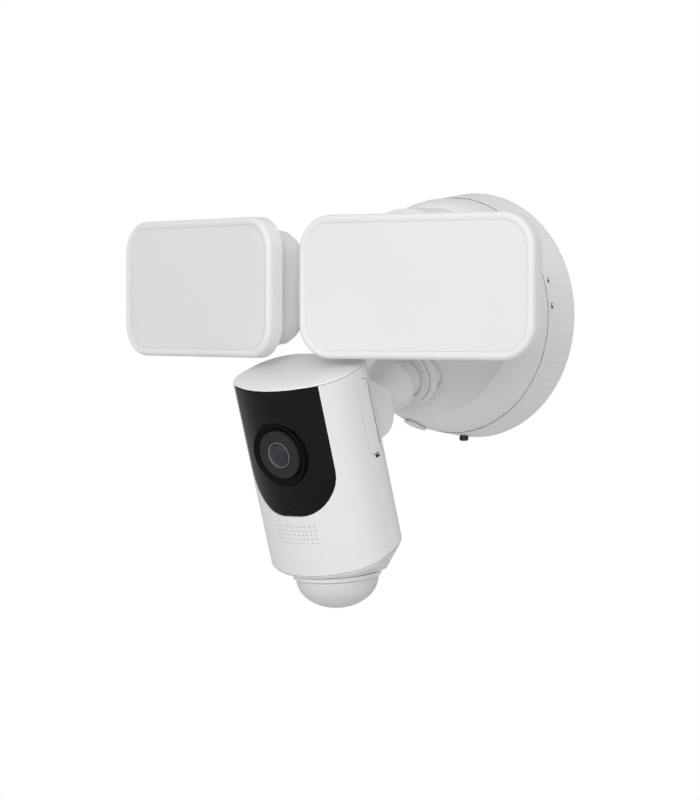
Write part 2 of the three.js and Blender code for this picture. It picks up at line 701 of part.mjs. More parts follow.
// Top and bottom edges of the head both climb towards the back
function sloped(geometry) {
  return moved(geometry, (point) => {
    point.z += (point.z > 0 ? TOP_SLOPE : BOTTOM_SLOPE) * point.y;
  });
}

function headPrism(inset, bottom, top) {
  return drafted(headOutline(inset), [[bottom, 0], [top, 0]]);
}

function windowOutline(inset) {
  const half = WINDOW_HALF - inset;
  const bottom = inset - WINDOW_BOTTOM;
  const radius = WINDOW_CORNER - inset;
  return roundedShape([
    [half, bottom, radius], [half, HEAD_TOP + 10, 0.5], [-half, HEAD_TOP + 10, 0.5], [-half, bottom, radius],
  ], 9);
}

function windowTool(inset) {
  return facing(drafted(windowOutline(inset), [[-10, 0], [14, 0]]));
}

function capsule(inset) {
  const y = COVER_W / 2 - inset;
  const z = COVER_H / 2 - inset;
  const radius = y - 0.05;
  return roundedShape([[COVER_Y - y, COVER_Z - z, radius], [COVER_Y + y, COVER_Z - z, radius],
    [COVER_Y + y, COVER_Z + z, radius], [COVER_Y - y, COVER_Z + z, radius]], 6);
}

const PRY_NOTCH = () => box(5, 3.6, 2.4, HEAD_HALF, COVER_Y, COVER_Z - COVER_H / 2);

function lug(side) {
  const rear = PIVOT_Y + LUG_R;
  const root = HEAD_DEPTH - HEAD_WALL - 2;
  const outline = roundedShape([
    [root, PIVOT_Z - LUG_R, 0.5], [rear, PIVOT_Z - LUG_R, 12], [rear, PIVOT_Z + LUG_R * 0.7, 9],
    [root, PIVOT_Z + LUG_R * 2.2, 0.5],
  ]);
  return sidePlate(outline, LUG_T, side * (KNUCKLE_HALF + GAP + LUG_T / 2));
}

function headShell() {
  const outer = sloped(headPrism(0, -HEAD_BOTTOM, HEAD_TOP));
  const inner = headPrism(HEAD_WALL, -HEAD_BOTTOM - 5, HEAD_TOP + 20);
  const coverHole = sidePlate(capsule(0), 14, HEAD_HALF + 2);
  const pinHole = rod("x", PIN_R + RUNNING, 60, 0, PIVOT_Y, PIVOT_Z, 16);
  return cut(join(outer, lug(-1), lug(1)), inner, windowTool(0), coverHole, pinHole, PRY_NOTCH());
}

function topCap() {
  const top = HEAD_TOP + GAP;
  const outer = drafted(headOutline(), [[top, 0], [top + 0.6, 0.4], [top + 1.2, 2], [top + 1.8, 8]]);
  return sloped(outer);
}

// Skirt between the head's outline and the round sensor, which hangs nearer to plumb than the head
function bottomCap() {
  const top = -HEAD_BOTTOM - GAP;
  const low = GAP - PIR_DROP;
  const middle = HEAD_DEPTH / 2;
  const across = HEAD_HALF - PIR_R - PIR_LIP;
  const deep = middle - PIR_R - PIR_LIP;
  const lean = (geometry) => moved(geometry, (point) => {
    const share = THREE.MathUtils.clamp((top - 1.2 - point.z) / (top - 1.2 - low), 0, 2);
    point.z += (1 - share) * BOTTOM_SLOPE * point.y - share * Math.tan(PIR_LEAN) * (point.y - middle);
    point.y += share * (PIR_Y - middle);
  });
  const outer = drafted(headOutline(), [[low, across, deep], [top - 1.2, 0.6], [top, 0]]);
  const inner = drafted(headOutline(), [
    [low - 1, across + HEAD_WALL, deep + HEAD_WALL], [top + 1, HEAD_WALL],
  ]);
  return cut(lean(outer), lean(inner));
}

function frontWindow() {
  const front = headPrism(0.2, -HEAD_BOTTOM + 1, HEAD_TOP);
  const behind = headPrism(0.2 + WINDOW_T, -HEAD_BOTTOM, HEAD_TOP + 5);
  return cut(overlap(front, windowTool(GAP)), behind, rod("y", RECESS_R, 40));
}

function lensCone() {
  const rim = RECESS_R - GAP;
  const hub = BARREL_R + GAP;
  return turned([[rim, 0.3], [rim, 5], [hub, 5], [hub, 2], [rim - 1, 0.3], [rim, 0.3]], 32);
}

const BARREL_Y = 0.2; // front face of the lens barrel

function lensBarrel() {
  return turned([
    [0, BARREL_Y + 1], [LENS_R + GAP, BARREL_Y + 1], [LENS_R + GAP, BARREL_Y], [BARREL_R - 0.6, BARREL_Y],
    [BARREL_R, BARREL_Y + 0.6], [BARREL_R, BARREL_Y + 3], [9, BARREL_Y + 4.6], [7, BARREL_Y + 4.6],
    [7, BARREL_Y + 12], [0, BARREL_Y + 12],
  ], 28);
}

function lensRing() {
  const y = BARREL_Y + 1 - GAP;
  const inner = LENS_R - 0.8;
  return turned([[inner, y], [LENS_R, y], [LENS_R, y - 1.3], [inner, y - 1], [inner, y]], 28);
}

function lensGlass() {
  const radius = LENS_R - 0.8 - GAP;
  const y = BARREL_Y + 1 - GAP;
  return turned([
    [0, y], [radius, y], [radius, y - 0.4], [radius * 0.7, y - 1.4], [radius * 0.35, y - 1.9], [0, y - 2],
  ], 24);
}

function sensorBoard() {
  return box(26, BOARD_T, 26, 0, BARREL_Y + 12 + GAP + BOARD_T / 2, 0);
}

function mainBoard() {
  return box(50, BOARD_T, 84, 0, 30, -14);
}

function speaker() {
  return turned([[0, 0], [13, 0], [14, 1], [14, 4], [8, 9], [0, 9]], 20).translate(0, 8, -48);
}

function antenna() {
  return box(34, 1, 7, 0, 40, 26);
}

function cardSocket() {
  return box(2.2, 14, 15, HEAD_HALF - 8, COVER_Y, COVER_Z + 6);
}

function cardCover() {
  const flush = headPrism(0.15, -HEAD_BOTTOM, HEAD_TOP);
  const plug = overlap(flush, sidePlate(capsule(GAP), 14, HEAD_HALF + 5));
  return cut(plug, PRY_NOTCH());
}

function resetButton() {
  return rod("x", BUTTON_R, 3, HEAD_HALF - 6.5, COVER_Y, COVER_Z - 9, 20);
}

function hingePin() {
  const half = KNUCKLE_HALF + GAP + LUG_T;
  const pin = turned([
    [0, -half - 0.5], [PIN_R - 0.3, -half - 0.5], [PIN_R, -half],
    [PIN_R, half], [PIN_R - 0.3, half + 0.5], [0, half + 0.5],
  ], 24);
  return pin.rotateZ(Math.PI / 2).translate(0, PIVOT_Y, PIVOT_Z);
}

// ---------------------------------------------------------------- motion sensor

function upright(geometry) {
  return geometry.rotateX(-Math.PI / 2 - PIR_LEAN).translate(0, PIR_Y, -PIR_DROP);
}

// Turned about the sensor's axis. Points are [radius, distance below the bottom cap].
function sensorTurned(points, sides) {
  return upright(turned(points, sides));
}

function sensorRing() {
  const inner = PIR_R - 1.8;
  const outer = PIR_R + PIR_LIP;
  return sensorTurned([
    [inner, 0], [outer, 0], [outer, 1.8], [outer - 0.6, 2.4], [inner, 2.4], [inner, 0],
  ], 28);
}

function sensorDome() {
  const start = 2.4 + GAP;
  const wall = 1;
  const steps = 5;
  const arc = (radius, height) => {
    const points = [];
    for (let i = 0; i <= steps; i += 1) {
      const angle = (Math.PI / 2) * (i / steps);
      points.push([i === steps ? 0 : radius * Math.cos(angle), start + height * Math.sin(angle)]);
    }
    return points;
  };
  const outer = arc(PIR_R, PIR_HEIGHT);
  const inner = arc(PIR_R - wall, PIR_HEIGHT - wall).reverse();
  return sensorTurned([...inner, ...outer], 28);
}

function sensorBoardRound() {
  const y = -3;
  return sensorTurned([[0, y], [PIR_R - 5, y], [PIR_R - 5, y + 1.4], [0, y + 1.4]], 24);
}

function sensorElement() {
  const y = -3 + 1.4 + GAP;
  return sensorTurned([[0, y], [4.8, y], [4.8, y + 0.6], [4.1, y + 0.6], [4.1, y + 5], [0, y + 5]], 16);
}

// ---------------------------------------------------------------- assembly

const object = new THREE.Group();

object.add(piece("back_plate", backPlate(), WHITE()));
object.add(piece("wall_gasket", wallGasket(), RUBBER()));
for (const [name, side] of [["left", -1], ["right", 1]]) {
  const plateScrewShape = screw(PLATE_SCREW_R, PLATE_T - 0.5).rotateX(Math.PI);
  const plateScrew = piece(`plate_screw_${name}`, plateScrewShape, STEEL());
  plateScrew.position.set((side * PLATE_SCREW_PITCH) / 2, -PLATE_T - GAP, 0);
  object.add(plateScrew);
}
object.add(piece("lock_ring", lockRing(), WHITE()));
object.add(piece("locking_screw", lockingScrew(), DARK_STEEL()));
object.add(piece("canopy_shell", canopyShell(), WHITE()));
object.add(piece("vent_plug", ventPlug(), WHITE()));
object.add(piece("driver_board", driverBoard(), BOARD()));
object.add(piece("transformer", transformer(), COPPER()));
object.add(piece("capacitor", capacitor(), BLACK_MATT()));
object.add(piece("terminal_block", terminalBlock(), WHITE()));
object.add(piece("lamp_hub", lampHub(), WHITE()));

for (const [name, side] of [["left", -1], ["right", 1]]) {
  object.add(piece(`friction_washer_${name}`, frictionWasher(side), RUBBER()));
  object.add(piece(`lamp_arm_${name}`, lampArm(side), WHITE()));

  const panning = new THREE.Group();
  panning.position.set(side * PAN_X, -HUB_Y, LAMP_Z);
  panning.rotation.z = THREE.MathUtils.degToRad(LAMP_PAN[name]);
  const lamp = new THREE.Group();
  lamp.position.set(side * PAN_OFFSET, -PAN_BACK, 0);
  lamp.add(piece(`lamp_frame_${name}`, lampFrame(), WHITE()));
  lamp.add(piece(`lamp_diffuser_${name}`, lampDiffuser(), OPAL()));
  lamp.add(piece(`reflector_tray_${name}`, reflectorTray(), WHITE()));
  lamp.add(piece(`led_board_${name}`, ledBoard(), ALUMINIUM()));
  lamp.add(piece(`heat_sink_${name}`, heatSink(), ALUMINIUM()));
  lamp.add(piece(`lamp_gasket_${name}`, lampGasket(), RUBBER()));
  lamp.add(piece(`lamp_housing_${name}`, lampHousing(side), WHITE()));
  lamp.add(piece(`lamp_bracket_${name}`, lampBracket(side), WHITE()));
  lamp.add(piece(`pan_pin_${name}`, panPinSolid(side), STEEL()));
  lamp.add(piece(`housing_screw_${name}`, housingScrew(side), STEEL()));
  panning.add(lamp);
  object.add(panning);
}

object.add(piece("camera_socket", cameraSocket(), WHITE()));
object.add(piece("split_clip", splitClip(), WHITE()));

// The arm and the head are made for a straight ball joint and then turned together about the ball
const ballTurn = new THREE.Group();
ballTurn.position.copy(ball);
ballTurn.rotation.set(0, HEAD_ROLL, HEAD_PAN, "ZYX");
const straight = new THREE.Group();
straight.position.copy(ball).negate();
ballTurn.add(straight);
object.add(ballTurn);
straight.add(piece("camera_arm", cameraArm(), WHITE()));

const head = new THREE.Group();
head.position.set(0, -LENS_Y, LENS_Z);
head.rotation.x = HEAD_PITCH;
head.add(piece("head_shell", headShell(), WHITE()));
head.add(piece("top_cap", topCap(), WHITE()));
head.add(piece("bottom_cap", bottomCap(), WHITE()));
head.add(piece("front_window", frontWindow(), BLACK_GLOSS()));
head.add(piece("lens_cone", lensCone(), BLACK_MATT()));
head.add(piece("lens_barrel", lensBarrel(), BLACK_MATT()));
head.add(piece("lens_ring", lensRing(), STEEL()));
head.add(piece("lens_glass", lensGlass(), GLASS()));
head.add(piece("sensor_board", sensorBoard(), BOARD()));
head.add(piece("main_board", mainBoard(), BOARD()));
head.add(piece("speaker", speaker(), BLACK_MATT()));
head.add(piece("antenna", antenna(), COPPER()));
head.add(piece("card_socket", cardSocket(), STEEL()));
head.add(piece("card_cover", cardCover(), WHITE()));
head.add(piece("reset_button", resetButton(), BLACK_MATT()));
head.add(piece("hinge_pin", hingePin(), WHITE()));
head.add(piece("sensor_ring", sensorRing(), WHITE()));
head.add(piece("sensor_dome", sensorDome(), OPAL()));
head.add(piece("motion_board", sensorBoardRound(), BOARD()));
head.add(piece("motion_element", sensorElement(), STEEL()));
straight.add(head);

export default object;
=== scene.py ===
"""Floodlight security camera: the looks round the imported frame. Metres, wall at y = 0, +Z up."""

import json
import math

import bmesh
import bpy
from mathutils import Matrix, Vector


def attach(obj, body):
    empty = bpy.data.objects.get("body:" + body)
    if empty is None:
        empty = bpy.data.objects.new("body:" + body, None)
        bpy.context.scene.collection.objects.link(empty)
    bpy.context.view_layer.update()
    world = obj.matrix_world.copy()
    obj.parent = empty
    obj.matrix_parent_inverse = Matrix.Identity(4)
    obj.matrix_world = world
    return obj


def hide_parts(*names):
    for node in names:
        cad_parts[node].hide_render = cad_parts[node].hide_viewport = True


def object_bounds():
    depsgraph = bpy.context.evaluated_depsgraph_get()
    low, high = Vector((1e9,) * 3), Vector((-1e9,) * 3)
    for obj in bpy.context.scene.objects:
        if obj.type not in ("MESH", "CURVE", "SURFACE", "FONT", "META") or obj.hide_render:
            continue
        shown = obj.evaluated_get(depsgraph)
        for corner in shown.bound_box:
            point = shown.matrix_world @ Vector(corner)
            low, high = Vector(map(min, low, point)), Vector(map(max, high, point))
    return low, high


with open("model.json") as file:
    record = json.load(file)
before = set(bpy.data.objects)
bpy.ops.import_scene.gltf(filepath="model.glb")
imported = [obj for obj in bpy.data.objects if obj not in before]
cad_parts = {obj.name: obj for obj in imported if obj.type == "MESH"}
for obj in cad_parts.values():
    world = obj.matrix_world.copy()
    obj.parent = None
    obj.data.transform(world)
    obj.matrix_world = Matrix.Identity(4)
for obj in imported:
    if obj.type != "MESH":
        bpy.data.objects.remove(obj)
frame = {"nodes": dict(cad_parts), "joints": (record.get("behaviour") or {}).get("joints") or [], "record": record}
cad_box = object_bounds()
nodes = frame["nodes"]
joints = {joint["name"]: joint for joint in frame["joints"]}
MM = 0.001

# ---------------------------------------------------------------- camera at the photograph's viewing angle

AZIMUTH = math.radians(39.0)
ELEVATION = math.radians(1.56)
DISTANCE = 1.4856
FOCAL_PX = 2665
IMAGE_W, IMAGE_H = 700, 800
SENSOR = 36
PRINCIPAL = (344.3, 385.4)  # where the optical axis meets the image
AXIS_LEFT, AXIS_BELOW = 0.0721, 0.0390  # how far the optical axis passes from the frame's origin

right = Vector((math.cos(AZIMUTH), math.sin(AZIMUTH), 0))
back = Vector((
    math.sin(AZIMUTH) * math.cos(ELEVATION), -math.cos(AZIMUTH) * math.cos(ELEVATION), math.sin(ELEVATION),
))
up = back.cross(right)
camera_data = bpy.data.cameras.new("camera")
camera_data.sensor_width = SENSOR
camera_data.lens = FOCAL_PX * SENSOR / IMAGE_H
camera_data.shift_x = (IMAGE_W / 2 - PRINCIPAL[0]) / IMAGE_H
camera_data.shift_y = (PRINCIPAL[1] - IMAGE_H / 2) / IMAGE_H
camera_data.clip_end = 30
camera = bpy.data.objects.new("camera", camera_data)
bpy.context.scene.collection.objects.link(camera)
camera.location = back * DISTANCE - right * AXIS_LEFT - up * AXIS_BELOW
camera.rotation_mode = "QUATERNION"
camera.rotation_quaternion = Matrix((right, up, back)).transposed().to_quaternion()
bpy.context.scene.camera = camera

# ---------------------------------------------------------------- materials


class Graph:
    """A material's node tree, with its Principled shader and object coordinates."""

    def __init__(self, name, color, roughness, metallic=0.0, **sockets):
        self.material = bpy.data.materials.new(name)
        self.material.use_nodes = True
        self.tree = self.material.node_tree
        self.shader = self.tree.nodes["Principled BSDF"]
        self.color = (*color, 1)
        self.roughness = roughness
        self.shader.inputs["Base Color"].default_value = self.color
        self.shader.inputs["Roughness"].default_value = roughness
        self.shader.inputs["Metallic"].default_value = metallic
        for socket, value in sockets.items():
            self.shader.inputs[socket.replace("_", " ")].default_value = value
        self.where = self.tree.nodes.new("ShaderNodeTexCoord").outputs["Object"]

    def node(self, kind, **settings):
        made = self.tree.nodes.new(kind)
        for key, value in settings.items():
            setattr(made, key, value)
        return made

    def link(self, source, target):
        self.tree.links.new(source, target)

    def noise(self, scale, detail=3.0, stretch=(1, 1, 1)):
        """Noise with features about 1/scale metres across."""
        mapping = self.node("ShaderNodeMapping")
        mapping.inputs["Scale"].default_value = stretch
        self.link(self.where, mapping.inputs["Vector"])
        noise = self.node("ShaderNodeTexNoise")
        noise.inputs["Scale"].default_value = scale
        noise.inputs["Detail"].default_value = detail
        self.link(mapping.outputs["Vector"], noise.inputs["Vector"])
        return noise.outputs["Fac"]

    def ranged(self, source, low, high, start=0.3, end=0.7):
        scaled = self.node("ShaderNodeMapRange")
        scaled.inputs["From Min"].default_value = start
        scaled.inputs["From Max"].default_value = end
        scaled.inputs["To Min"].default_value = low
        scaled.inputs["To Max"].default_value = high
        self.link(source, scaled.inputs["Value"])
        return scaled.outputs["Result"]

    def mottle(self, scale, amount, other=None):
        """Colour drifts between two tones."""
        mix = self.node("ShaderNodeMix", data_type="RGBA")
        darker = other or [c * (1 - amount) for c in self.color[:3]]
        mix.inputs["A"].default_value = self.color
        mix.inputs["B"].default_value = (*darker[:3], 1)
        self.link(self.ranged(self.noise(scale, 4), 0, 1), mix.inputs["Factor"])
        self.link(mix.outputs["Result"], self.shader.inputs["Base Color"])
        return self

    def rough(self, scale, spread, stretch=(1, 1, 1)):
        low, high = self.roughness - spread, self.roughness + spread
        self.link(self.ranged(self.noise(scale, 5, stretch), low, high), self.shader.inputs["Roughness"])
        return self

    def bump(self, scale, depth, stretch=(1, 1, 1), detail=2.0):
        """Fine relief, depth in metres."""
        bump = self.node("ShaderNodeBump")
        bump.inputs["Strength"].default_value = 1.0
        bump.inputs["Distance"].default_value = depth
        self.link(self.noise(scale, detail, stretch), bump.inputs["Height"])
        self.link(bump.outputs["Normal"], self.shader.inputs["Normal"])
        return self


def moulded(name, color, roughness=0.42, grain=1500, depth=0.00001, **sockets):
    """Moulded plastic: spark-eroded grain, faint flow marks and uneven gloss."""
    graph = Graph(name, color, roughness, **sockets)
    return graph.mottle(18, 0.03).rough(60, 0.06).bump(grain, depth).material


WHITE = (0.80, 0.80, 0.795)
materials = {
    "white_plastic": moulded("white_plastic", WHITE, 0.40, Specular_IOR_Level=0.45),
    "lamp_diffuser": moulded("lamp_diffuser", (0.78, 0.78, 0.775), 0.36, 500, 0.000008, Coat_Weight=0.15),
    "opal_dome": moulded("opal_dome", (0.69, 0.695, 0.69), 0.42, 900, 0.000015, Subsurface_Weight=0.1,
                         Subsurface_Scale=0.002),
    "gloss_black": Graph("gloss_black", (0.009, 0.009, 0.0095), 0.2, Specular_IOR_Level=0.12)
    .mottle(30, 0.3).rough(90, 0.03).bump(300, 0.000002).material,
    "lens_glass": Graph("lens_glass", (0.030, 0.033, 0.042), 0.12, Specular_IOR_Level=0.2)
    .mottle(250, 0, (0.034, 0.034, 0.040)).rough(200, 0.02).material,
    "black_plastic": moulded("black_plastic", (0.024, 0.024, 0.025), 0.5, 1800, 0.00001,
                             Specular_IOR_Level=0.15),
    "grey_plastic": moulded("grey_plastic", (0.45, 0.46, 0.47), 0.5),
    "black_rubber": Graph("black_rubber", (0.03, 0.03, 0.031), 0.8).mottle(80, 0.25).rough(150, 0.08)
    .bump(1200, 0.00002).material,
    "screw_steel": Graph("screw_steel", (0.62, 0.63, 0.64), 0.32, 1.0).mottle(200, 0.1)
    .rough(500, 0.1, (1, 1, 8)).bump(2500, 0.000004, (1, 1, 10)).material,
    "dark_steel": Graph("dark_steel", (0.05, 0.05, 0.052), 0.42, 0.8).mottle(300, 0.3).rough(700, 0.1)
    .bump(2500, 0.000006).material,
    "bare_aluminium": Graph("bare_aluminium", (0.66, 0.67, 0.68), 0.38, 1.0).mottle(120, 0.08)
    .rough(300, 0.08, (8, 1, 1)).bump(1500, 0.000006, (8, 1, 1)).material,
    "circuit_board": Graph("circuit_board", (0.03, 0.13, 0.07), 0.35, Coat_Weight=0.4)
    .mottle(700, 0.4, (0.05, 0.2, 0.11)).rough(400, 0.06).bump(900, 0.00002).material,
    "copper_winding": Graph("copper_winding", (0.50, 0.22, 0.10), 0.35, 1.0).mottle(300, 0.2)
    .rough(500, 0.08).bump(2500, 0.00003, (1, 12, 1)).material,
}
# Looks of single small pieces, given by name instead of their slot's look. The red one is a painted glint for the
# lens glass
for extra, tone, matt in (
    ("surround_black", (0.004, 0.004, 0.004), 0.5), ("ring_grey", (0.16, 0.15, 0.14), 0.4),
    ("painted_glint_red", (0.25, 0.012, 0.012), 0.3), ("mark_grey", (0.10, 0.10, 0.10), 0.6),
):
    materials[extra] = moulded(extra, tone, matt, Specular_IOR_Level=0.08)
slot_of = {part["node"]: part["material_slot"] for part in frame["record"]["subparts"]}


def dress(piece, look):
    piece.data.materials.clear()
    piece.data.materials.append(materials[look])


# ---------------------------------------------------------------- CAD nodes: smooth faces

SMOOTH_ANGLE = math.radians(32)
MERGE_DISTANCE = 2e-6


def smoothing_group():
    """Merges doubled corners, then shades smooth all but the edges sharper than SMOOTH_ANGLE."""
    group = bpy.data.node_groups.new("smooth_by_angle", "GeometryNodeTree")
    group.interface.new_socket("Geometry", in_out="INPUT", socket_type="NodeSocketGeometry")
    group.interface.new_socket("Geometry", in_out="OUTPUT", socket_type="NodeSocketGeometry")
    start = group.nodes.new("NodeGroupInput")
    merge = group.nodes.new("GeometryNodeMergeByDistance")
    merge.inputs["Distance"].default_value = MERGE_DISTANCE
    angle = group.nodes.new("GeometryNodeInputMeshEdgeAngle")
    above = group.nodes.new("FunctionNodeCompare")
    above.data_type = "FLOAT"
    above.operation = "GREATER_THAN"
    above.inputs["B"].default_value = SMOOTH_ANGLE
    faces = group.nodes.new("GeometryNodeSetShadeSmooth")
    edges = group.nodes.new("GeometryNodeSetShadeSmooth")
    edges.domain = "EDGE"
    edges.inputs["Shade Smooth"].default_value = False
    end = group.nodes.new("NodeGroupOutput")
    group.links.new(start.outputs[0], merge.inputs["Geometry"])
    group.links.new(merge.outputs["Geometry"], faces.inputs["Geometry"])
    group.links.new(faces.outputs["Geometry"], edges.inputs["Geometry"])
    group.links.new(angle.outputs["Unsigned Angle"], above.inputs["A"])
    group.links.new(above.outputs["Result"], edges.inputs["Selection"])
    group.links.new(edges.outputs["Geometry"], end.inputs[0])
    return group


smooth = smoothing_group()


def soften(piece):
    """Shades the faces smooth up to the sharp edges."""
    mesh = piece.data
    if "custom_normal" in mesh.attributes:
        mesh.attributes.remove(mesh.attributes["custom_normal"])
    modifier = piece.modifiers.new("smooth", "NODES")
    modifier.node_group = smooth
    weighted = piece.modifiers.new("weighted", "WEIGHTED_NORMAL")
    weighted.keep_sharp = True


for name, node in nodes.items():
    dress(node, slot_of[name])
    soften(node)

# ---------------------------------------------------------------- mesh helpers


def solid(name, rings, place, slot, body, replaced=(), closed=True, caps=False, look=None):
    """Skins rings of points, each with the same count. Closed joins the last ring to the first.

    It wears its slot's material, or the one that look names.
    """
    mesh = bmesh.new()
    rows = [[mesh.verts.new(place @ Vector(point)) for point in ring] for ring in rings]
    pairs = list(zip(rows, rows[1:] + rows[:1] if closed else rows[1:]))
    for row, following in pairs:
        count = len(row)
        for i in range(count):
            j = (i + 1) % count
            mesh.faces.new((row[i], row[j], following[j], following[i]))
    if caps:
        mesh.faces.new(reversed(rows[0]))
        mesh.faces.new(rows[-1])
    bmesh.ops.remove_doubles(mesh, verts=mesh.verts, dist=1e-7)
    bmesh.ops.recalc_face_normals(mesh, faces=mesh.faces)
    data = bpy.data.meshes.new(name)
    mesh.to_mesh(data)
    mesh.free()
    data.shade_smooth()
    data.set_sharp_from_angle(angle=SMOOTH_ANGLE)
    piece = bpy.data.objects.new(name, data)
    bpy.context.scene.collection.objects.link(piece)
    dress(piece, look or slot)
    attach(piece, body)
    if replaced:
        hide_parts(*replaced)
    return piece


def rounded_rect(width, height, radius, y, steps=14):
    """Outline in X and Z at depth y, in metres."""
    points = []
    x, z = width / 2 - radius, height / 2 - radius
    for corner, (side, level) in enumerate(((1, 1), (-1, 1), (-1, -1), (1, -1))):
        for k in range(steps + 1):
            turn = (corner + k / steps) * math.pi / 2
            points.append((side * x + radius * math.cos(turn), y, level * z + radius * math.sin(turn)))
    return points


def lathe(name, profile, place, slot, body, replaced=(), sides=96, look=None):
    """Turns a closed profile of (radius, y) about the Y axis. Millimetres."""
    rings = []
    for radius, y in profile:
        ring = []
        for i in range(sides):
            turn = 2 * math.pi * i / sides
            reach = max(radius, 1e-4) * MM
            ring.append((reach * math.cos(turn), y * MM, reach * math.sin(turn)))
        rings.append(ring)
    return solid(name, rings, place, slot, body, replaced, look=look)


def arc(centre, radius, start, end, steps):
    """Points round centre, angles in degrees."""
    points = []
    for k in range(steps + 1):
        turn = math.radians(start + (end - start) * k / steps)
        points.append((centre[0] + radius * math.cos(turn), centre[1] + radius * math.sin(turn)))
    return points


# ---------------------------------------------------------------- lock ring

CANOPY_R, RING_DEPTH, RING_TAPER = 68.0, 20.4, 3.0
RIB_COUNT, RIB_HEIGHT, RIB_POINTS = 80, 0.22, 8
RIB_FADE_START, RIB_FADE_LENGTH = -17.5, 4.0  # the ribs grow from here towards the wall
RING_BACK, RING_BORE_R = -0.3, 64.87


def ribbed_ring():
    """Lock ring whose shallow ribs fade out towards its plain front edge."""
    rings = []
    back_edge = ((-0.3, 0.6), (-0.35, 0.15))
    front_edge = ((-20.45, 0.02), (-20.6, 0.15))
    plain = [(y, 0) for y in (-0.8, -5, -10, -13.5, -15.5, -17.5, -19.6)]
    for y, inset in (*back_edge, *plain, *front_edge):
        front_fade = min(max((y - RIB_FADE_START) / RIB_FADE_LENGTH, 0), 1)
        fade = front_fade * min(max((RING_BACK - y) / 0.5, 0), 1)
        ring = []
        for i in range(RIB_COUNT * RIB_POINTS):
            share = (i % RIB_POINTS) / (RIB_POINTS - 1)
            turn = 2 * math.pi * (i + 0.5) / (RIB_COUNT * RIB_POINTS)
            taper = RING_TAPER * (y - RING_BACK) / RING_DEPTH
            reach = CANOPY_R + taper - inset - RIB_HEIGHT * fade * share**2
            ring.append((reach * math.cos(turn) * MM, y * MM, reach * math.sin(turn) * MM))
        rings.append(ring)
    for y in (-20.6, RING_BACK):
        bore = []
        for x, _, z in rings[0]:
            share = RING_BORE_R / math.hypot(x, z)
            bore.append((x * share * MM, y * MM, z * share * MM))
        rings.append(bore)
    solid("lock_ring_ribbed", rings, Matrix(), "white_plastic", "lock_ring", ["lock_ring"])


ribbed_ring()

# ---------------------------------------------------------------- flood lamps

LAMP_W, LAMP_H, LAMP_CORNER = 133.6, 73.0, 18.0
RIM = 3.2
PAN_OFFSET, PAN_BACK = 12.5, 44.0
PANS = {"left": (-1, -13.0), "right": (1, 8.8)}


def lamp_ring(inset, y):
    radius = max(LAMP_CORNER - inset, 1.0)
    return rounded_rect((LAMP_W - 2 * inset) * MM, (LAMP_H - 2 * inset) * MM, radius * MM, y * MM)


for side, (way, pan) in PANS.items():
    pin = Vector(joints[f"{side}_lamp_pan"]["pos_m"])
    place = Matrix.Translation(pin) @ Matrix.Rotation(math.radians(pan), 4, "Z")
    place = place @ Matrix.Translation(Vector((way * PAN_OFFSET, -PAN_BACK, 0)) * MM)
    turns = [math.pi / 2 * k / 8 for k in range(9)]
    lip = [(2.2 - 2.2 * math.sin(turn), 2.4 - 3.0 * math.cos(turn)) for turn in turns]
    groove = [(2.7, -0.55), (3.2, -0.42), (3.7, -0.25), (4.15, -0.12)]
    frame_profile = [(0, 8.5), *reversed(lip), *groove, (4.2, 0.1), (RIM, 0.3), (RIM, 2.7), (7.7, 2.7)]
    frame_profile.append((7.7, 8.5))
    solid(f"lamp_bezel_{side}", [lamp_ring(*point) for point in frame_profile], place, "white_plastic",
          f"{side}_lamp", [f"lamp_frame_{side}"])
    crown = [(3.5, 2.4), (3.5, 0.4), (4.22, 0.3), (4.24, -0.1), (5, -0.14), (7, -0.25), (10, -0.3)]
    crown.append((24, -0.33))
    rings = [lamp_ring(*point) for point in crown]
    solid(f"lamp_lens_{side}", rings, place, "lamp_diffuser", f"{side}_lamp", [f"lamp_diffuser_{side}"],
          closed=False, caps=True)

# ---------------------------------------------------------------- camera head

PITCH, ROLL, PAN = math.radians(17), math.radians(-0.6), math.radians(-0.9)
PIVOT = Vector((0, 63.3, 1.5)) * MM
turn_ball = Matrix.Rotation(PAN, 4, "Z") @ Matrix.Rotation(ROLL, 4, "Y")
turn_head = turn_ball @ Matrix.Rotation(PITCH, 4, "X")
pin_place = Vector(joints["camera_tilt"]["pos_m"])
head = Matrix.Translation(pin_place) @ turn_head @ Matrix.Translation(-PIVOT)

BOW_R, BOW_SLOPE = 50.0, 0.5
BOW_EDGE = BOW_R * math.sin(math.atan(BOW_SLOPE))
CORNER_X, CORNER_Y, CORNER_R = 16.53, 24.72, 20.0  # rounded front corner of the cross-section


def front_of_head(x):
    """How far the bowed front lies behind its middle, in mm."""
    x = abs(x)
    if x < BOW_EDGE:
        return BOW_R - math.sqrt(BOW_R**2 - x**2)
    if x > CORNER_X + CORNER_R * math.sin(math.atan(BOW_SLOPE)):
        return CORNER_Y - math.sqrt(CORNER_R**2 - (x - CORNER_X) ** 2)
    return BOW_R - math.sqrt(BOW_R**2 - BOW_EDGE**2) + BOW_SLOPE * (x - BOW_EDGE)


WINDOW_HALF, WINDOW_LOW, WINDOW_TOP, WINDOW_CORNER = 28.1, -33.1, 33.9, 22.7
RECESS_R = 17.0


def window_outline():
    """Points round the window's edge, square above and rounded below, as (x, z) in mm."""
    low = WINDOW_LOW + WINDOW_CORNER
    points = [(WINDOW_HALF, WINDOW_TOP - (WINDOW_TOP - low) * k / 12) for k in range(12)]
    middle = WINDOW_HALF - WINDOW_CORNER
    points += arc((middle, low), WINDOW_CORNER, 0, -90, 18)
    points += arc((-middle, low), WINDOW_CORNER, -90, -180, 18)
    points += [(-WINDOW_HALF, low + (WINDOW_TOP - low) * k / 12) for k in range(1, 13)]
    points += [(-WINDOW_HALF + 2 * WINDOW_HALF * k / 18, WINDOW_TOP) for k in range(1, 18)]
    return points


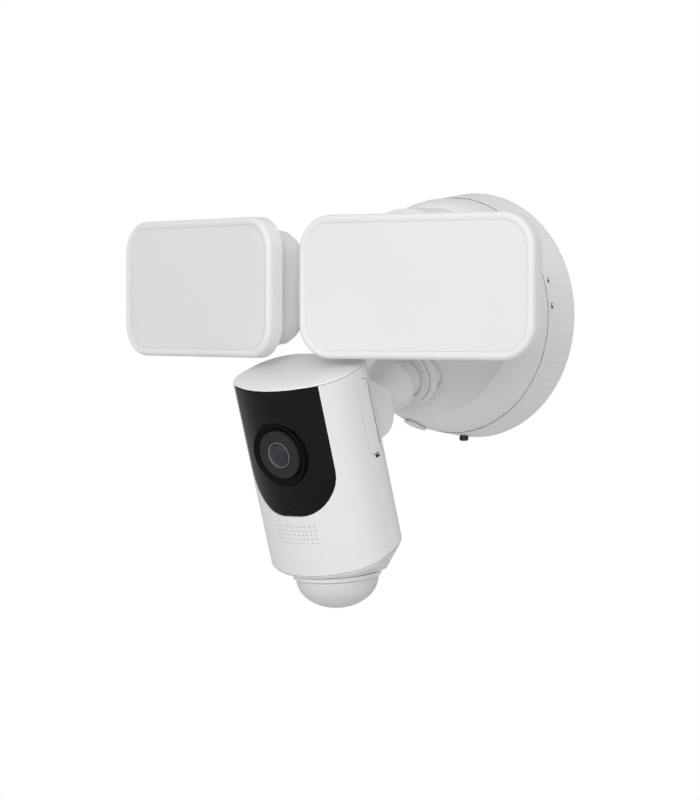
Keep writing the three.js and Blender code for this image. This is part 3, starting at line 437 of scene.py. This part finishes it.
def window_pane():
    """Glossy pane that follows the bowed front, with a round hole for the lens and an eased edge."""
    edge = window_outline()
    hole = RECESS_R - 0.05
    rings = []
    steps = 10

    def ring(share, sink, shrink=0.0):
        points = []
        for x, z in edge:
            length = math.hypot(x, z)
            inner_x, inner_z = x / length * hole, z / length * hole
            outer_x, outer_z = x * (1 - shrink / length), z * (1 - shrink / length)
            px = inner_x + (outer_x - inner_x) * share
            pz = inner_z + (outer_z - inner_z) * share
            points.append((px * MM, (front_of_head(px) + 0.2 + sink) * MM, pz * MM))
        return points

    rings.append(ring(0, 0.25))
    rings.append(ring(0.02, 0.0, 0.3))
    rings += [ring(k / steps, 0.0, 0.3) for k in range(1, steps)]
    rings += [ring(1, 0.0, 0.35), ring(1, 0.08, 0.1), ring(1, 0.3), ring(1, 1.6), ring(0, 1.6)]
    solid("window_pane", rings, head, "gloss_black", "camera_head", ["front_window"])


window_pane()

# Lens: a shallow black cone, the grey face of the barrel, a thin bright ring and the coated glass
cone = [
    (16.7, 0.35), (16.5, 0.15), (16.1, 0.3), (15.6, 0.75), (14.6, 1.35), (13.1, 1.9), (13.1, 5), (16.7, 5),
]
lathe("lens_surround", cone, head, "black_plastic", "camera_head", ["lens_cone"],
      look="surround_black")
barrel = [
    (0, 1.2), (7.3, 1.2), (7.3, 0.4), (7.5, 0.2), (9.1, 0.2), (9.3, 0.32), (9.7, 0.32), (9.9, 0.2),
    (12.2, 0.2), (12.6, 0.35), (12.8, 0.7), (12.8, 3.2), (9, 4.8), (7, 4.8), (7, 12.2), (0, 12.2),
]
lathe("lens_face", barrel, head, "black_plastic", "camera_head", ["lens_barrel"])
trim = [(6.2, 0.9), (6.95, 0.9), (6.95, 0.05), (6.85, -0.05), (6.65, -0.05), (6.5, 0.1), (6.2, 0.3)]
lathe("lens_trim", trim, head, "screw_steel", "camera_head", ["lens_ring"], look="ring_grey")
dome = [(5.9 * math.cos(math.radians(t)), 0.5 - 1.5 * math.sin(math.radians(t))) for t in range(0, 91, 9)]
lathe("lens_front", [(0, 0.9), (5.9, 0.9), *dome], head, "lens_glass", "camera_head", ["lens_glass"], 64)
# Painted reflection: a tiny red disc on the lens glass stands in for a glint off its coating
glint = head @ Matrix.Translation(Vector((2.2, -0.9, 0.3)) * MM)
lathe("sensor_glint", [(0, 0), (0.55, 0), (0.5, -0.05), (0, -0.06)], glint, "black_plastic",
      "camera_head", (), 16, look="painted_glint_red")
for spot, (x, z) in enumerate(((1.9, 22.6), (-0.3, -26.6))):
    place = head @ Matrix.Translation(Vector((x, front_of_head(x) + 0.19, z)) * MM)
    lathe(f"window_spot_{spot}", [(0, 0), (0.6, 0), (0.5, -0.04), (0, -0.05)], place,
          "black_plastic", "camera_head", (), 16, look="surround_black")

# ---------------------------------------------------------------- marks and notch


def block(name, place, size, slot, body, look=None):
    """Box with its middle at place and slightly chamfered ends along Y. Millimetres."""
    across, deep, tall = (value / 2 for value in size)
    rings = []
    for y, ease in ((-deep, 0.08), (-deep + 0.08, 0), (deep - 0.08, 0), (deep, 0.08)):
        corners = ((across, tall), (-across, tall), (-across, -tall), (across, -tall))
        eased = [(x - math.copysign(ease, x), z - math.copysign(ease, z)) for x, z in corners]
        rings.append([(x * MM, y * MM, z * MM) for x, z in eased])
    solid(name, rings, place, slot, body, closed=False, caps=True, look=look)


# Open and closed padlock on the plain front edge of the lock ring
MARK_Y = -17.6
for name, angle, shift in (("open", 16.5, 0.7), ("closed", 4.0, 0.0)):
    reach = CANOPY_R + RING_TAPER * (MARK_Y - RING_BACK) / RING_DEPTH
    place = Matrix.Rotation(-math.radians(angle), 4, "Y")
    place = place @ Matrix.Translation(Vector((reach, MARK_Y, 0)) * MM)
    place = place @ Matrix.Rotation(math.pi / 2, 4, "Z")
    block(f"mark_{name}", place, (2.2, 0.1, 1.7), "black_plastic", "lock_ring", "mark_grey")
    for side in (-0.65, 0.65):
        bar = place @ Matrix.Translation(Vector((side + shift, 0, 1.35)) * MM)
        end = "near" if side < 0 else "far"
        block(f"mark_{name}_bar_{end}", bar, (0.4, 0.1, 1.0), "black_plastic", "lock_ring", "mark_grey")
    bar = place @ Matrix.Translation(Vector((shift, 0, 1.95)) * MM)
    block(f"mark_{name}_bow", bar, (1.7, 0.1, 0.4), "black_plastic", "lock_ring", "mark_grey")

# Painted shade: a small black block sits in the pry notch under the card cover, standing in for the shadow inside
# it
notch = head @ Matrix.Translation(Vector((35.6, 34.0, -11.2)) * MM)
notch = notch @ Matrix.Rotation(math.pi / 2, 4, "Z")
block("notch_painted_shade", notch, (3.2, 1.6, 0.9), "black_rubber", "camera_head")

# ---------------------------------------------------------------- speaker holes

HOLE_R, HOLE_STEP_X, HOLE_STEP_Z = 0.42, 2.45, 2.28
HOLE_ROWS, HOLES_IN_ROW, HOLES_TOP = 5, 11, -38.9
DRILL_LENGTH = 2.4  # half of it is in the wall


def drilled_shell():
    """Copy of the head's shell with rows of blind speaker holes below the window."""
    drill = bmesh.new()
    for row in range(HOLE_ROWS):
        for column in range(HOLES_IN_ROW):
            x = (column - (HOLES_IN_ROW - 1) / 2) * HOLE_STEP_X
            y = front_of_head(x)
            middle = Vector((x, y, HOLES_TOP - row * HOLE_STEP_Z)) * MM
            place = head @ Matrix.Translation(middle) @ Matrix.Rotation(math.pi / 2, 4, "X")
            bmesh.ops.create_cone(
                drill, cap_ends=True, segments=10, radius1=HOLE_R * MM, radius2=HOLE_R * MM,
                depth=DRILL_LENGTH * MM, matrix=place,
            )
    cutter = bpy.data.objects.new("drill", bpy.data.meshes.new("drill"))
    drill.to_mesh(cutter.data)
    drill.free()
    source = nodes["head_shell"]
    shell = bmesh.new()
    shell.from_mesh(source.data)
    shell.transform(source.matrix_world)
    bmesh.ops.remove_doubles(shell, verts=shell.verts, dist=MERGE_DISTANCE)
    data = bpy.data.meshes.new("drilled_shell")
    shell.to_mesh(data)
    shell.free()
    piece = bpy.data.objects.new("drilled_shell", data)
    for item in (piece, cutter):
        bpy.context.scene.collection.objects.link(item)
    boolean = piece.modifiers.new("holes", "BOOLEAN")
    boolean.object = cutter
    boolean.operation = "DIFFERENCE"
    boolean.solver = "EXACT"
    bpy.context.view_layer.update()
    evaluated = piece.evaluated_get(bpy.context.evaluated_depsgraph_get())
    finished = bpy.data.meshes.new_from_object(evaluated)
    piece.modifiers.clear()
    piece.data = finished
    bpy.data.objects.remove(cutter)
    dress(piece, "white_plastic")
    soften(piece)
    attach(piece, "camera_head")
    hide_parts("head_shell")


drilled_shell()

# ---------------------------------------------------------------- motion sensor dome

DOME = (21.6, 16.0, 2.7)  # radius, height, and where it starts along the sensor's axis
SENSOR_LEAN = 12
FACET_ROWS, FACETS_ROUND, GROOVE_DEPTH = 5, 20, 0.16
sensor = head @ Matrix.Translation(Vector((0, 25.4, -73.4)) * MM)
sensor = sensor @ Matrix.Rotation(math.radians(-90 - SENSOR_LEAN), 4, "X")


def sensor_dome():
    """Milky dome with rows of small lens facets moulded into it."""
    radius, height, start = DOME
    sides, levels = 160, 36
    rings = []
    for k in range(levels + 1):
        rise = math.pi / 2 * k / levels
        ring = []
        for i in range(sides):
            turn = 2 * math.pi * i / sides
            across = abs((turn / (2 * math.pi) * FACETS_ROUND) % 1 - 0.5) * 2
            along = abs((rise / (math.pi / 2) * FACET_ROWS) % 1 - 0.5) * 2
            groove = max(across, along) ** 8 * math.cos(rise) ** 0.5 * GROOVE_DEPTH if k else 0
            reach = max(radius * math.cos(rise) - groove, 1e-4)
            y = start + height * math.sin(rise) - groove * math.sin(rise)
            ring.append((reach * math.cos(turn) * MM, y * MM, reach * math.sin(turn) * MM))
        rings.append(ring)
    inner = []
    for k in range(levels // 3 + 1):
        rise = math.pi / 2 * (1 - k / (levels // 3))
        reach = max((radius - 1) * math.cos(rise), 1e-4)
        y = start + (height - 1) * math.sin(rise)
        turns = [2 * math.pi * i / sides for i in range(sides)]
        inner.append([(reach * math.cos(t) * MM, y * MM, reach * math.sin(t) * MM) for t in turns])
    solid("sensor_lens", rings + inner, sensor, "opal_dome", "camera_head", ["sensor_dome"])


sensor_dome()

# ---------------------------------------------------------------- stage and light


def seen_white(tree, dim):
    """White where the camera sees the stage itself, and dim as a source of light."""
    path = tree.nodes.new("ShaderNodeLightPath")
    mix = tree.nodes.new("ShaderNodeMix")
    mix.data_type = "RGBA"
    mix.inputs["A"].default_value = (*dim, 1)
    mix.inputs["B"].default_value = (1, 1, 1, 1)
    tree.links.new(path.outputs["Is Camera Ray"], mix.inputs["Factor"])
    return mix.outputs["Result"], mix


def stage_material():
    material = bpy.data.materials.new("floor")
    material.use_nodes = True
    tree = material.node_tree
    glow = tree.nodes.new("ShaderNodeEmission")
    color, _ = seen_white(tree, (0.60, 0.60, 0.60))
    tree.links.new(color, glow.inputs["Color"])
    tree.links.new(glow.outputs["Emission"], tree.nodes["Material Output"].inputs["Surface"])
    return material


def backdrop():
    """Pale floor that curves up behind the object."""
    low = cad_box[0].z - 0.22
    profile = [(-4.0, low), (1.2, low)]
    turns = [math.pi / 2 * k / 12 for k in range(1, 13)]
    profile += [(1.2 + math.sin(turn), low + 1.0 - math.cos(turn)) for turn in turns]
    profile.append((2.2, low + 3.5))
    mesh = bmesh.new()
    rows = [[mesh.verts.new((x, y, z)) for x in (-6, 6)] for y, z in profile]
    for a, b in zip(rows, rows[1:]):
        mesh.faces.new((a[0], a[1], b[1], b[0]))
    data = bpy.data.meshes.new("floor")
    mesh.to_mesh(data)
    mesh.free()
    data.shade_smooth()
    floor = bpy.data.objects.new("floor", data)
    bpy.context.scene.collection.objects.link(floor)
    floor.data.materials.append(stage_material())


def area(name, place, target, size, power):
    data = bpy.data.lights.new(name, "AREA")
    data.shape = "DISK"
    data.size = size
    data.energy = power
    lamp = bpy.data.objects.new(name, data)
    bpy.context.scene.collection.objects.link(lamp)
    lamp.location = place
    lamp.rotation_mode = "QUATERNION"
    lamp.rotation_quaternion = (Vector(target) - Vector(place)).to_track_quat("-Z", "Y")


backdrop()
OBJECT_MIDDLE = (0, -0.08, -0.03)
area("key", (1.0, -1.75, 0.55), OBJECT_MIDDLE, 1.2, 19.3)
area("fill", (-0.8, -1.7, -0.5), OBJECT_MIDDLE, 1.0, 4)
area("top", (0.2, -0.4, 1.7), (0, -0.08, 0), 1.2, 2)

world = bpy.data.worlds.new("studio")
world.use_nodes = True
ambient = world.node_tree.nodes["Background"]
color, mix = seen_white(world.node_tree, (0.4, 0.4, 0.4))
where = world.node_tree.nodes.new("ShaderNodeTexCoord")
split = world.node_tree.nodes.new("ShaderNodeSeparateXYZ")
ramp = world.node_tree.nodes.new("ShaderNodeMapRange")  # brighter above, dimmer below
ramp.inputs["From Min"].default_value = -0.5
ramp.inputs["From Max"].default_value = 0.6
ramp.inputs["To Min"].default_value = 0.54
ramp.inputs["To Max"].default_value = 0.62
world.node_tree.links.new(where.outputs["Generated"], split.inputs["Vector"])
world.node_tree.links.new(split.outputs["Z"], ramp.inputs["Value"])
world.node_tree.links.new(ramp.outputs["Result"], mix.inputs["A"])
world.node_tree.links.new(color, ambient.inputs["Color"])
bpy.context.scene.world = world
bpy.context.scene.view_settings.view_transform = "Standard"
